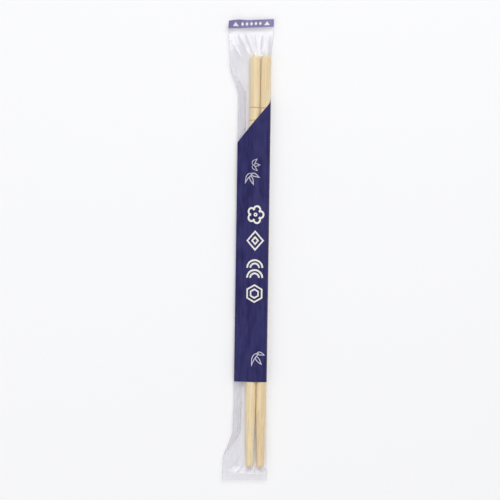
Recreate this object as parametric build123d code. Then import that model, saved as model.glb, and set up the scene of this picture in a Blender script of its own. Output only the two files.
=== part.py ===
from build123d import *
import math
import os

# Bamboo chopsticks: one pair, sealed in its own clear printed film sleeve, lying on a table.
# Y runs along the sticks with their heads at +Y, and Z is up. The origin is on the table,
# under the middle of the sleeve. Lengths are in millimetres and angles in degrees.

os.makedirs("parts", exist_ok=True)

# Sticks
stick_length = 200.0
stick_diameter = 5.0
stick_gap = 0.1          # air between the two sticks
head_height = 2.0        # of the domed head
dome_pull = 0.55         # share of each half-axis that makes the dome's curve a quarter of an ellipse
taper_length = 30.0
tip_diameter = 3.4
tip_chamfer = 0.25
node_spacing = 6.2       # between the two rings that a bamboo node leaves
node_from_head_left = 25.7
node_from_head_right = 25.9
ring_width = 0.5
ring_depth = 0.06

# Sleeve: a flattened film tube, sealed across both ends
film_thickness = 0.04
film_clearance = 0.05    # air between the film and the sticks
panel_gap = 0.02         # air between two panels that lie flat together
fit_tolerance = 1e-6     # how closely the lengths of film are made to add up
sleeve_ease = 8.76       # how much wider the flat sleeve is than a snug one
edge_pull_in = 0.96      # how far the right crease is drawn in beside the sticks
tip_pull_in = 0.4        # and beside their tips
head_room = 17.1         # from the sleeve's top edge to the heads
tip_room = 6.9           # from the tips to its bottom edge
top_flat = 6.0           # length that lies flat at the top end
bottom_flat = 3.0        # and at the bottom end

# Fold: what is left over beside the left stick is turned under
fold_depth = 3.8
fold_gap = 0.4           # air inside the turn
fold_starts = 6.0        # from the heads to where the fold begins
fold_end_depth = 0.4     # what is turned under at each end of the fold
fold_run = 13.0          # length over which it deepens
fold_stops = 4.0         # from the tips to where the fold ends

# Print
ink_thickness = 0.02
ink_gap = 0.01           # between the film and the ink
strip_from_top = 0.5
strip_height = 3.4
band_below_fold = 0.9     # from where the fold is full to the band's right corner
band_above_taper = 11.1  # from where the sticks begin to taper to the band's lower edge
band_slant = 1.2         # drop of the band's upper edge for each millimetre across the film
band_turn = 24.0         # how far round the right stick the print begins, below its middle

# Facets
arc_steps = 8            # for each quarter turn round a stick
lean_steps = 3           # where the film leaves the left stick
nose_steps = 6           # round the turn of the fold
turn_steps = 2           # of the print below the right stick's middle

# Sizes that follow
stick_radius = stick_diameter / 2
tube_radius = stick_radius + film_clearance + film_thickness
tip_tube_radius = tip_diameter / 2 + film_clearance + film_thickness
pitch = stick_diameter + stick_gap
flat_width = math.pi * tube_radius + pitch + sleeve_ease
sleeve_length = head_room + stick_length + tip_room
mid_height = tube_radius
half_panels = film_thickness + panel_gap / 2
nose_inner = fold_gap / 2
nose_outer = nose_inner + 2 * film_thickness
nose_length = math.pi * (nose_inner + film_thickness)

right_x = flat_width / 2 - edge_pull_in - tube_radius
left_x = right_x - pitch
sleeve_top = sleeve_length / 2
sleeve_bottom = -sleeve_length / 2
head_y = sleeve_top - head_room
tip_y = head_y - stick_length
shoulder_y = head_y - head_height / 2
taper_y = tip_y + taper_length
full_fold_y = head_y - fold_starts - fold_run


def stick(axis_x, node_from_head):
    """One stick, turned about its own length: flat tip, long taper, two fine rings, domed head."""
    outline = [(0, tip_y), (tip_diameter / 2 - tip_chamfer, tip_y), (tip_diameter / 2, tip_y + tip_chamfer)]
    outline.append((stick_radius, taper_y))
    for ring_y in (head_y - node_from_head - node_spacing, head_y - node_from_head):
        outline.append((stick_radius, ring_y - ring_width / 2))
        outline.append((stick_radius - ring_depth, ring_y))
        outline.append((stick_radius, ring_y + ring_width / 2))
    dome_y = head_y - head_height
    outline.append((stick_radius, dome_y))
    with BuildPart() as turned:
        with BuildSketch():
            with BuildLine():
                Polyline(*outline)
                Bezier(
                    (stick_radius, dome_y),
                    (stick_radius, dome_y + dome_pull * head_height),
                    (dome_pull * stick_radius, head_y),
                    (0, head_y),
                )
                Line((0, head_y), (0, tip_y))
            make_face()
        revolve(axis=Axis.Y)
    return Pos(axis_x, 0, mid_height) * turned.part


def round_stick(axis_x, radius, first, last, steps):
    """Points on the film round a stick, as (x, height above the sticks' middle), between two angles."""
    angles = [math.radians(first + (last - first) * step / steps) for step in range(steps + 1)]
    return [(axis_x + radius * math.cos(angle), radius * math.sin(angle)) for angle in angles]


def meeting_angle(radius, reach):
    """How far round a stick, from the level of its middle, film from a point at that level touches it."""
    return math.degrees(math.acos(radius / reach))


def side_length(radius, reach):
    """Length of a panel from the top of a stick to an edge at the level of the sticks' middle."""
    return radius * math.radians(90 - meeting_angle(radius, reach)) + math.sqrt(reach**2 - radius**2)


def wing_reach(radius, crease_reach, turned_under):
    """How far the wing's edge lies from the left stick's axis.

    A panel is as wide as the flat sleeve, so what goes round the sticks, what spans the wing and what
    is turned under add up to that width. The range that holds the answer is halved again and again.
    """
    room = flat_width - turned_under - pitch - side_length(radius, crease_reach)
    near, far = radius, flat_width
    while far - near > fit_tolerance:
        reach = (near + far) / 2
        if side_length(radius, reach) < room:
            near = reach
        else:
            far = reach
    return reach


def upper_panel(radius, crease_reach, reach):
    """The upper panel's outside, from the right crease to the wing's edge.

    Where the crease stands off the right stick, as it does beside the tips, the first points lie on the
    straight stretch from the crease to the stick, so each point has its partner in the next section.
    """
    over_right = round_stick(right_x, radius, 0, 90, arc_steps)
    meeting = meeting_angle(radius, crease_reach)
    meeting_x, meeting_height = round_stick(right_x, radius, meeting, meeting, 1)[0]
    for step in range(arc_steps):
        angle = 90 * step / arc_steps
        if angle < meeting:
            left_over = 1 - angle / meeting
            crease_x = right_x + crease_reach
            over_right[step] = (meeting_x + (crease_x - meeting_x) * left_over, meeting_height * (1 - left_over))
    over_left = round_stick(left_x, radius, 90, 180 - meeting_angle(radius, reach), lean_steps)
    return over_right + over_left + [(left_x - reach, half_panels)]


def flat_panel():
    """The same points where the sleeve lies flat, as far from the right crease as they are round it."""
    reach = wing_reach(tube_radius, tube_radius, 0)
    quarter = tube_radius * math.pi / 2
    lean = tube_radius * math.radians(90 - meeting_angle(tube_radius, reach))
    across = [quarter * step / arc_steps for step in range(1, arc_steps + 1)]
    across += [quarter + pitch + lean * step / lean_steps for step in range(lean_steps + 1)]
    across.append(flat_width)
    crease = (flat_width / 2, 0)
    return [crease] + [(flat_width / 2 - length, half_panels) for length in across]


def closed(panel):
    """A whole section: the upper panel, and its mirror image below back to the right crease."""
    return panel + [(x, -height) for x, height in reversed(panel[1:])]


def inset(points, distance, is_closed=True):
    """Points moved to the left of their path by a distance, with sharp corners kept."""
    moved = []
    for index, (x, height) in enumerate(points):
        before = points[index - 1] if is_closed or index else None
        after = points[(index + 1) % len(points)] if is_closed or index + 1 < len(points) else None
        sides = [(before, (x, height))] if before else []
        sides += [((x, height), after)] if after else []
        normals = []
        for (x1, h1), (x2, h2) in sides:
            length = math.hypot(x2 - x1, h2 - h1)
            normals.append(((h1 - h2) / length, (x2 - x1) / length))
        (nx, nh), (mx, mh) = normals[0], normals[-1]
        share = distance / (1 + nx * mx + nh * mh)
        moved.append((x + share * (nx + mx), height + share * (nh + mh)))
    return moved


def ring(section, y):
    """A closed wire across the sleeve at y."""
    return Wire.make_polygon([(x, y, mid_height + height) for x, height in section])


# Places along the sleeve where the fold begins, is full, and ends, with what is turned under there
fold_places = [
    (head_y - fold_starts, fold_end_depth),
    (full_fold_y, fold_depth),
    (taper_y, fold_depth),
    (tip_y + fold_stops + fold_run, fold_depth),
    (tip_y + fold_stops, fold_end_depth),
]


def between_tip_and_taper(y, at_tip, at_taper):
    """A size that changes evenly along the taper and is the same all along the rest."""
    along = min(1, max(0, (y - tip_y) / taper_length))
    return at_tip + (at_taper - at_tip) * along


def film_at(y, depth):
    """At y, the film's radius round each stick, its right crease and its wing's edge, from the axes."""
    radius = between_tip_and_taper(y, tip_tube_radius, tube_radius)
    crease_reach = tube_radius + between_tip_and_taper(y, edge_pull_in - tip_pull_in, 0)
    turned_under = depth + nose_length if depth else 0
    return radius, crease_reach, wing_reach(radius, crease_reach, turned_under)


def film_tube():
    """The film round both sticks with its wing, hollow, and flat where its ends are sealed."""
    places = [(shoulder_y, 0)] + fold_places + [(tip_y, 0)]
    wrapped = [(closed(upper_panel(*film_at(y, depth))), y) for y, depth in places]
    flat = closed(flat_panel())
    open_part = [(flat, sleeve_top - top_flat)] + wrapped + [(flat, sleeve_bottom + bottom_flat)]
    whole = [(flat, sleeve_top)] + open_part + [(flat, sleeve_bottom)]
    outside = Solid.make_loft([ring(section, y) for section, y in whole], ruled=True)
    inside = Solid.make_loft([ring(inset(section, film_thickness), y) for section, y in open_part], ruled=True)
    return outside - inside


def fold_section(y, depth):
    """The turn at the wing's edge and the flap under it, both panels pressed together."""
    radius, _, reach = film_at(y, depth)
    edge_x = left_x - reach
    slope = math.asin(radius / reach)
    centre_height = -(nose_inner + film_thickness)
    angles = [math.pi / 2 + (math.pi - slope) * step / nose_steps for step in range(nose_steps + 1)]
    outer = [(edge_x + nose_outer * math.cos(a), centre_height + nose_outer * math.sin(a)) for a in angles]
    inner = [(edge_x + nose_inner * math.cos(a), centre_height + nose_inner * math.sin(a)) for a in angles]
    run_x, drop = depth * math.cos(slope), depth * math.sin(slope)
    outer.append((outer[-1][0] + run_x, outer[-1][1] - drop))
    inner.append((inner[-1][0] + run_x, inner[-1][1] - drop))
    root_x = edge_x + film_thickness / 2
    return [(root_x, film_thickness)] + outer + inner[::-1] + [(root_x, -film_thickness)]


def film_fold():
    """The left edge of the sleeve, turned under along its length."""
    return Solid.make_loft([ring(fold_section(y, depth), y) for y, depth in fold_places], ruled=True)


def printed_band():
    """The wide band of ink, on the outside of the upper panel, round the sticks and the turned edge."""
    below = round_stick(right_x, tube_radius, -band_turn, 0, turn_steps)[:-1]
    nose = fold_section(taper_y, fold_depth)[2 : nose_steps // 2 + 2]
    path = below + upper_panel(*film_at(taper_y, fold_depth)) + nose
    near = inset(path, -ink_gap, is_closed=False)
    far = inset(path, -ink_gap - ink_thickness, is_closed=False)
    across = [0]
    for (x1, h1), (x2, h2) in zip(path, path[1:]):
        across.append(across[-1] + math.hypot(x2 - x1, h2 - h1))
    low_y = taper_y + band_above_taper
    slices = []
    for (x1, h1), (x2, h2), length in zip(near, far, across):
        top_y = full_fold_y - band_below_fold - band_slant * length
        corners = [(x1, low_y, h1), (x2, low_y, h2), (x2, top_y, h2), (x1, top_y, h1)]
        slices.append(Wire.make_polygon([(x, y, mid_height + height) for x, y, height in corners]))
    return Solid.make_loft(slices, ruled=True)


def printed_strip():
    """The narrow strip of ink across the flat top end."""
    base = mid_height + half_panels + ink_gap
    centre_y = sleeve_top - strip_from_top - strip_height / 2
    return Pos(0, centre_y, base + ink_thickness / 2) * Box(flat_width, strip_height, ink_thickness)


nodes = {
    "chopstick_left": stick(left_x, node_from_head_left),
    "chopstick_right": stick(right_x, node_from_head_right),
    "film_sleeve": film_tube() + film_fold(),
    "printed_band": printed_band(),
    "printed_strip": printed_strip(),
}
for name, shape in nodes.items():
    export_step(shape, f"parts/{name}.step")

print(f"flat sleeve {flat_width:.2f} x {sleeve_length:.1f} mm")
print(f"wing reaches {film_at(taper_y, fold_depth)[2]:.2f} mm from the left stick's axis")
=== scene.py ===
# %% [markdown]
# # A pair of bamboo chopsticks in a clear printed sleeve
#
# Two turned bamboo sticks lie side by side in a sleeve of clear film. The sleeve is a flattened tube,
# sealed across both ends, and what is left over beside the left stick is turned under. A navy band and
# a violet strip are printed on it, with white leaf sprigs and simple traditional shapes on the band.
#
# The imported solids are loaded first, and they fix the sizes and places. The sticks, the film, the band
# and the strip made below each stand for one of them. Only the white shapes have no solid of their own.

import math
from collections import namedtuple

import bmesh
import bpy
import numpy as np
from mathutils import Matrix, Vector, noise


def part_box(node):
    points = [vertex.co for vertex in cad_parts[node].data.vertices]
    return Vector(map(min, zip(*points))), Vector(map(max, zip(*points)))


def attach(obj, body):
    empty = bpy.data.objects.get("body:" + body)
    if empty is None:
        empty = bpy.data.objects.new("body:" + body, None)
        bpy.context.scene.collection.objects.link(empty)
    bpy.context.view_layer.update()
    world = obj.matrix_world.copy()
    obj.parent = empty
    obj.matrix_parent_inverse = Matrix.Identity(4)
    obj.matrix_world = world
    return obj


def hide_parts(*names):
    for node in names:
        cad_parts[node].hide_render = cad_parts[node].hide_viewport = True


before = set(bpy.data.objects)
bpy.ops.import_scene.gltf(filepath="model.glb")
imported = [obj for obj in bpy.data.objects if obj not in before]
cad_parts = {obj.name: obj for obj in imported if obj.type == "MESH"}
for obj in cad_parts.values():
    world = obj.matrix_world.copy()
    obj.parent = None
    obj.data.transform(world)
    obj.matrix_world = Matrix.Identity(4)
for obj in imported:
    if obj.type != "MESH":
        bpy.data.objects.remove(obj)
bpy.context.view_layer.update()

# %% [markdown]
# ## Sizes
#
# Lengths are in millimetres, as on a maker's drawing, and become metres only when a mesh is made. Y runs
# along the sticks with their heads at +Y, and Z is up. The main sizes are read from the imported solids,
# so the pieces made here lie where those do. The others are named once and set from them.

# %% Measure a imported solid
MM = 0.001
Span = namedtuple("Span", "low high middle size")


def measured(node, axis):
    """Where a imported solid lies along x, y or z, in millimetres to the nearest thousandth."""
    low, high = (getattr(corner, axis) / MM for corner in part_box(node))
    return Span(*(round(value, 3) for value in (low, high, (low + high) / 2, high - low)))


# %% Sizes of the sticks
right_stick, left_stick = measured("chopstick_right", "x"), measured("chopstick_left", "x")
right_x, left_x = right_stick.middle, left_stick.middle
pitch = right_x - left_x
stick_radius = right_stick.size / 2
mid_height = measured("chopstick_right", "z").middle    # of the sticks' axes above the table
tip_y, head_y = measured("chopstick_right", "y")[:2]
head_height = 2.0
taper_length = 30.0
taper_y = tip_y + taper_length
tip_radius = 1.7
tip_chamfer = 0.25
print(f"sticks: {head_y - tip_y:.1f} mm long, {2 * stick_radius:.1f} mm across, axes {pitch:.2f} mm apart")

# %% Sizes of the sleeve
film_thickness = 0.04
film_clearance = 0.05            # air between the film and the sticks
panel_gap = 0.02                 # air between two panels that lie flat together
half_gap = (panel_gap + film_thickness) / 2   # from the mid-plane to the middle of each such panel
flat_width = measured("film_sleeve", "x").size
sleeve_bottom, sleeve_top = measured("film_sleeve", "y")[:2]
top_flat, bottom_flat = 6.0, 3.0              # lengths that lie flat at the ends
top_seal_y, bottom_seal_y = sleeve_top - top_flat, sleeve_bottom + bottom_flat
shoulder_y = head_y - head_height / 2         # where the film begins to leave the heads
body_film_radius = stick_radius + film_clearance + film_thickness / 2     # middle of the film
tip_film_radius = tip_radius + film_clearance + film_thickness / 2
tip_crease_stand_off = 0.56      # how far the right crease stands off beside the tips
print(f"sleeve: {sleeve_top - sleeve_bottom:.1f} mm long, {flat_width:.2f} mm wide when flat")

# %% Sizes of the fold beside the left stick
fold_depth = 3.8
nose_radius = 0.24               # of the narrow turn, to the middle of the film
fold_from_y, fold_full_y = head_y - 3.9, head_y - 19.0         # where it starts, and where it is full
fold_to_y, fold_full_to_y = tip_y + 2.5, tip_y + 17.0          # and the same near the tips
full_turn = fold_depth + math.pi * nose_radius
print(f"film turned under beside the left stick: {full_turn:.2f} mm of {flat_width:.2f} mm")

# %% [markdown]
# ## Helpers for meshes
#
# Each piece is a mesh whose vertices lie where the piece lies, with its object at the origin. Small
# helpers turn lists of points and faces into such an object and say what was made.

# %% Helpers that make a piece from points and faces
def as_piece(name, mesh, material):
    """An object at the origin that holds this mesh and one material."""
    mesh.materials.clear()
    mesh.materials.append(material)
    piece = bpy.data.objects.new(name, mesh)
    bpy.context.scene.collection.objects.link(piece)
    triangles = sum(len(face.vertices) - 2 for face in mesh.polygons)
    print(f"{name}: {len(mesh.vertices)} points, {triangles} triangles")
    return piece


def mesh_of(name, points_mm, faces, sharp_degrees=None):
    """A smooth-shaded mesh from points in millimetres. Edges sharper than sharp_degrees stay sharp."""
    mesh = bpy.data.meshes.new(name)
    mesh.from_pydata([tuple(point) for point in np.asarray(points_mm) * MM], [], faces)
    mesh.update()
    mesh.shade_smooth()
    if sharp_degrees:
        mesh.set_sharp_from_angle(angle=math.radians(sharp_degrees))
    return mesh


def signed_volume(points, faces):
    """Positive where the faces of a closed mesh point outwards."""
    points = np.asarray(points)
    total = 0.0
    for face in faces:
        first = points[face[0]]
        for second, third in zip(face[1:], face[2:]):
            total += float(np.dot(first, np.cross(points[second], points[third])))
    return total / 6


def facing_out(points, faces, outwards=True):
    """The faces of a closed mesh, turned round if they point the wrong way."""
    if (signed_volume(points, faces) > 0) == outwards:
        return faces
    return [face[::-1] for face in faces]


def eased(value):
    """Runs from 0 to 1 with soft ends, and stays at 0 or 1 outside."""
    value = min(1.0, max(0.0, value))
    return value * value * (3 - 2 * value)


# %% [markdown]
# ## Helpers for Geometry Nodes
#
# What repeats or follows a rule is made by Geometry Nodes: the turned sticks, the leaf sprigs, the round
# and cornered shapes, and the row of small diamonds. Each tree gets named inputs, and each run of it is
# kept as a plain mesh.

# %% Helpers that build a tree and run it
def new_tree(name, counts, sizes):
    """A tree that takes a mesh, whole numbers, sizes and a material. Gives the tree and its inputs."""
    tree = bpy.data.node_groups.new(name, "GeometryNodeTree")
    inputs = [("Geometry", "Geometry"), *((label, "Int") for label in counts)]
    inputs += [*((label, "Float") for label in sizes), ("Material", "Material")]
    for label, kind in inputs:
        tree.interface.new_socket(label, in_out="INPUT", socket_type="NodeSocket" + kind)
    tree.interface.new_socket("Geometry", in_out="OUTPUT", socket_type="NodeSocketGeometry")
    return tree, tree.nodes.new("NodeGroupInput").outputs


def connect(tree, target, value):
    """Joins an output to a socket, or writes a plain value into it."""
    if isinstance(value, bpy.types.NodeSocket):
        tree.links.new(value, target)
    else:
        target.default_value = value


def step(tree, kind, sockets, output=0, **settings):
    """One node, with its settings and its sockets filled. Gives its first output, or the one named."""
    made = tree.nodes.new(kind)
    for name, value in settings.items():
        setattr(made, name, value)
    for key, value in sockets.items():
        connect(tree, made.inputs[key], value)
    return made.outputs[output]


def calc(tree, operation, *values):
    """One step of arithmetic on numbers or outputs."""
    return step(tree, "ShaderNodeMath", dict(enumerate(values)), operation=operation)


def finish_tree(tree, given, geometry):
    """The last nodes of every tree, which make instances real and set the material."""
    whole = step(tree, "GeometryNodeRealizeInstances", {"Geometry": geometry})
    coloured = step(tree, "GeometryNodeSetMaterial", {"Geometry": whole, "Material": given["Material"]})
    tree.links.new(coloured, tree.nodes.new("NodeGroupOutput").inputs[0])
    return tree


def grown(tree, values, start=None):
    """Runs the tree with these inputs on a starting mesh, and gives the result as a plain mesh."""
    maker = bpy.data.objects.new("maker", start or bpy.data.meshes.new("start"))
    bpy.context.scene.collection.objects.link(maker)
    modifier = maker.modifiers.new("shape", "NODES")
    modifier.node_group = tree
    names = {item.name: item.identifier for item in tree.interface.items_tree if item.in_out == "INPUT"}
    for label, value in values.items():
        modifier[names[label]] = value
    bpy.context.view_layer.update()
    depsgraph = bpy.context.evaluated_depsgraph_get()
    mesh = bpy.data.meshes.new_from_object(maker.evaluated_get(depsgraph))
    bpy.data.objects.remove(maker)
    return mesh


# %% [markdown]
# ## Helpers for materials
#
# Every finish is made of nodes that read Object coordinates, or an attribute of the piece itself, so the
# pattern stays with the piece from any side and in any light.

# %% Helpers for material nodes
def new_material(name):
    """An empty node material, with its node tree and its output."""
    material = bpy.data.materials.new(name)
    material.use_nodes = True
    tree = material.node_tree
    tree.nodes.clear()
    return material, tree, tree.nodes.new("ShaderNodeOutputMaterial")


def linear(red, green, blue):
    """A colour written in the 0 to 255 of a picture, as the light values that a shader takes."""
    values = []
    for value in (red, green, blue):
        share = value / 255
        values.append(share / 12.92 if share <= 0.04045 else ((share + 0.055) / 1.055) ** 2.4)
    return (*values, 1.0)


def stretched(tree, across, along, shift=(0, 0, 0)):
    """Object coordinates in millimetres, divided by a pattern's size across and along the sticks."""
    place = step(tree, "ShaderNodeTexCoord", {}, "Object")
    scale = (1 / MM / across, 1 / MM / along, 1 / MM / across)
    return step(tree, "ShaderNodeMapping", {"Vector": place, "Location": shift, "Scale": scale})


def soft_noise(tree, across, along, detail=3.0, roughness=0.5, shift=(0, 0, 0)):
    """A soft random value from 0 to 1, in spots of a size across and along the sticks."""
    place = stretched(tree, across, along, shift)
    sockets = {"Vector": place, "Scale": 1.0, "Detail": detail, "Roughness": roughness}
    return step(tree, "ShaderNodeTexNoise", sockets, "Fac")


def remap(tree, value, low, high, to_low=0.0, to_high=1.0):
    """A value between two limits, spread over another range."""
    sockets = {"Value": value, "From Min": low, "From Max": high, "To Min": to_low, "To Max": to_high}
    return step(tree, "ShaderNodeMapRange", sockets, "Result", interpolation_type="SMOOTHSTEP")


def mixed(tree, share, first, second):
    """Two colours mixed by a share. The node has its colours at sockets 6 and 7, and at output 2."""
    return step(tree, "ShaderNodeMix", {0: share, 6: first, 7: second}, 2, data_type="RGBA")


# %% [markdown]
# ## The sticks
#
# A real disposable stick is turned from one strip of bamboo: a domed head, a straight body, a long taper
# to a flat tip, and two fine rings where a node of the stalk was cut through. A lathe is the natural way
# to think of it, so a line of stations runs along the axis, each with its own radius, and the tree
# sweeps a circle along it.

# %% The tree that turns a stick
def turned_stick_tree():
    tree, given = new_tree("turned stick", ["Points Around"], ["Merge Distance"])
    axis = step(tree, "GeometryNodeMeshToCurve", {"Mesh": given["Geometry"]})
    sockets = {"Resolution": given["Points Around"], "Radius": 1.0}
    circle = step(tree, "GeometryNodeCurvePrimitiveCircle", sockets)
    radius = step(tree, "GeometryNodeInputNamedAttribute", {"Name": "radius"}, data_type="FLOAT")
    sockets = {"Curve": axis, "Profile Curve": circle, "Scale": radius}
    swept = step(tree, "GeometryNodeCurveToMesh", sockets)
    sockets = {"Geometry": swept, "Distance": given["Merge Distance"]}
    return finish_tree(tree, given, step(tree, "GeometryNodeMergeByDistance", sockets))


# %% Stations along a stick
ring_spacing = 6.2
ring_half_width = 0.3
ring_depth = 0.06
tip_inner_radius = 0.8           # of a circle on the flat tip, so that its faces stay short
chamfer_along, chamfer_in = 0.08, 0.10
body_step = 3.0                  # between the stations on the straight body
taper_stations, ring_stations, dome_stations = 14, 9, 13


def stick_stations(first_ring_y):
    """(y, radius) from the tip to the head of a stick whose upper ring is at first_ring_y."""
    stations = [(tip_y, 0.0), (tip_y, tip_inner_radius), (tip_y, tip_radius - tip_chamfer)]
    stations += [(tip_y + chamfer_along, tip_radius - chamfer_in), (tip_y + tip_chamfer, tip_radius)]
    for share in np.linspace(0.05, 1.0, taper_stations):
        y = tip_y + tip_chamfer + share * (taper_y - tip_y - tip_chamfer)
        stations.append((y, tip_radius + (stick_radius - tip_radius) * share))
    ring_places = (first_ring_y - ring_spacing, first_ring_y)
    dome_y = head_y - head_height
    body = []
    for y in np.arange(taper_y + body_step, dome_y, body_step):
        if min(abs(y - ring_y) for ring_y in ring_places) > 2 * ring_half_width:
            body.append((y, stick_radius))
    for ring_y in ring_places:
        for share in np.linspace(-1, 1, ring_stations):
            depth = ring_depth * math.cos(share * math.pi / 2) ** 2
            body.append((ring_y + share * ring_half_width, stick_radius - depth))
    stations += sorted(body)
    for angle in np.linspace(0, math.pi / 2, dome_stations):
        stations.append((dome_y + head_height * math.sin(angle), stick_radius * math.cos(angle)))
    stations[-1] = (head_y, 0.0)
    return stations


def axis_mesh(axis_x, stations):
    """A line of vertices along a stick's axis, each with its radius as an attribute."""
    nudge = 1e-7                 # keeps apart stations at the same y, so that the line has a direction
    points = []
    for index, (y, _) in enumerate(stations):
        points.append((axis_x * MM, y * MM + nudge * index, mid_height * MM))
    mesh = bpy.data.meshes.new("axis")
    mesh.from_pydata(points, [(index, index + 1) for index in range(len(points) - 1)], [])
    attribute = mesh.attributes.new("radius", "FLOAT", "POINT")
    attribute.data.foreach_set("value", [radius * MM for _, radius in stations])
    return mesh


# %% [markdown]
# ### Bamboo
#
# Bamboo is a bundle of long fibres, so its pattern is the same all through: streaks along the sides and
# small dots on the cut ends. One pattern in space, long along Y and fine across, gives both. The rings
# of the node are browner than the rest.

# %% The bamboo material
fleck_brown, ring_brown = (176, 134, 82), (186, 128, 74)
ring_line, ring_fade = 0.12, 0.34        # half-widths of a ring's line: where it is full, and all of it
ring_wobble = 0.5                        # how far the line strays from side to side


def bamboo(name, light, dark, ring_ys, shift):
    """The bamboo of one stick, from its two tones, its rings, and a shift of the whole grain."""
    material, tree, output = new_material(name)

    # Broad soft streaks, fine fibres, and short flecks along single fibres.
    broad = soft_noise(tree, 1.5, 90.0, 2.0, shift=shift)
    fine = soft_noise(tree, 0.28, 26.0, 4.0, 0.6, shift)
    sockets = {"Vector": stretched(tree, 0.55, 34.0, shift), "Scale": 1.0}
    fibres = step(tree, "ShaderNodeTexVoronoi", sockets, "Distance", feature="F1")
    dots = remap(tree, fibres, 0.10, 0.30, 1.0, 0.0)
    breaks = remap(tree, soft_noise(tree, 0.9, 7.0, 2.0, shift=shift), 0.46, 0.62)
    flecks = calc(tree, "MULTIPLY", dots, breaks)

    # Streaks and fibres set the tone between light and dark, and the flecks are browner.
    broad_share = remap(tree, broad, 0.3, 0.7, 0.0, 0.50)
    tone = calc(tree, "ADD", broad_share, remap(tree, fine, 0.38, 0.66, 0.0, 0.60))
    colour = mixed(tree, tone, linear(*light), linear(*dark))
    colour = mixed(tree, calc(tree, "MULTIPLY", flecks, 0.5), colour, linear(*fleck_brown))

    # A ring is a thin line square to the stick, a little uneven, and paler where it is worn.
    place = step(tree, "ShaderNodeTexCoord", {}, "Object")
    along = step(tree, "ShaderNodeSeparateXYZ", {"Vector": place}, "Y")
    wobble = soft_noise(tree, 0.8, 3.0, 2.0, shift=shift)
    wobble = calc(tree, "MULTIPLY", calc(tree, "SUBTRACT", wobble, 0.5), ring_wobble * MM)
    height = calc(tree, "ADD", along, wobble)
    ring_share = None
    for ring_y in ring_ys:
        away = calc(tree, "ABSOLUTE", calc(tree, "SUBTRACT", height, ring_y * MM))
        line = remap(tree, away, ring_line * MM, ring_fade * MM, 1.0, 0.0)
        ring_share = line if ring_share is None else calc(tree, "MAXIMUM", ring_share, line)
    worn = remap(tree, soft_noise(tree, 0.7, 2.0, 2.0, shift=shift), 0.2, 0.6, 0.45, 0.8)
    colour = mixed(tree, calc(tree, "MULTIPLY", ring_share, worn), colour, linear(*ring_brown))

    # Fibres stand out a little, and flecks lie a little deeper.
    relief = calc(tree, "SUBTRACT", fine, calc(tree, "MULTIPLY", flecks, 0.6))
    bump = step(tree, "ShaderNodeBump", {"Height": relief, "Strength": 0.35, "Distance": 0.03 * MM})
    shader = step(
        tree,
        "ShaderNodeBsdfPrincipled",
        {
            "Base Color": colour,
            "Roughness": remap(tree, fine, 0.2, 0.8, 0.48, 0.68),
            "Normal": bump,
            "Specular IOR Level": 0.35,
            "Subsurface Weight": 0.35,
            "Subsurface Radius": (1.0, 0.55, 0.28),
            "Subsurface Scale": 1.2 * MM,
        },
    )
    tree.links.new(shader, output.inputs["Surface"])
    return material


# %% Turn both sticks
stick_tree = turned_stick_tree()
stick_rows = [
    # name, axis, upper ring from the head, light and dark colour, and a shift for a grain of its own
    ("stick_left", left_x, 25.7, (250, 236, 198), (231, 206, 153), (0, 0, 0)),
    ("stick_right", right_x, 25.9, (248, 232, 193), (228, 201, 149), (4.3, 9.1, 2.7)),
]
points_around = 56
merge_distance = 0.002 * MM
stick_sharp_degrees = 40
sticks = []
for name, axis_x, from_head, light, dark, shift in stick_rows:
    ring_y = head_y - from_head
    material = bamboo(name + "_bamboo", light, dark, (ring_y, ring_y - ring_spacing), shift)
    axis = axis_mesh(axis_x, stick_stations(ring_y))
    values = {"Points Around": points_around, "Merge Distance": merge_distance, "Material": material}
    mesh = grown(stick_tree, values, axis)
    shell = bmesh.new()
    shell.from_mesh(mesh)
    bmesh.ops.recalc_face_normals(shell, faces=shell.faces)
    shell.to_mesh(mesh)
    shell.free()
    mesh.shade_smooth()
    mesh.set_sharp_from_angle(angle=math.radians(stick_sharp_degrees))
    sticks.append(as_piece(name, mesh, material))

# %% [markdown]
# ## The form of the film
#
# The sleeve is worked out as the real one is folded. A panel is a flat strip, and every point on it is
# named by how far it is across from the right crease and how far along. The panel goes up round the
# right stick, over to the left one, down beside it in a straight wing, round a narrow turn and back
# under as a flap. At both ends it lies flat. Because film does not stretch, the lengths always add up
# to the flat width, which is what decides where the wing ends.

# %% How the film lies across the sleeve
def side_length(radius, reach):
    """Length of a panel from the top of a stick to an edge at the level of its middle."""
    return radius * (math.pi / 2 - math.acos(radius / reach)) + math.sqrt(reach**2 - radius**2)


def wing_reach(radius, crease, turned):
    """How far the wing's edge lies from the left stick's axis."""
    room = flat_width - turned - pitch - side_length(radius, crease)
    near, far = radius, flat_width
    halvings = 50
    for _ in range(halvings):
        middle = (near + far) / 2
        near, far = (middle, far) if side_length(radius, middle) < room else (near, middle)
    return near


def turned_under(y):
    """How much film is turned under at y."""
    rising = (fold_from_y - y) / (fold_from_y - fold_full_y)
    falling = (y - fold_to_y) / (fold_full_to_y - fold_to_y)
    share = min(1.0, max(0.0, min(rising, falling)))
    return full_turn * (share + eased(share)) / 2


def flatness(y):
    """0 where the film lies round the sticks, 1 where it lies flat."""
    if y > 0:
        share = (y - shoulder_y) / (top_seal_y - shoulder_y)
    else:
        share = (tip_y - y) / (tip_y - bottom_seal_y)
    share = min(1.0, max(0.0, share))
    return (share + eased(share)) / 2


bridge_sag = 0.22                # of the film between the tops of the sticks


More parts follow.
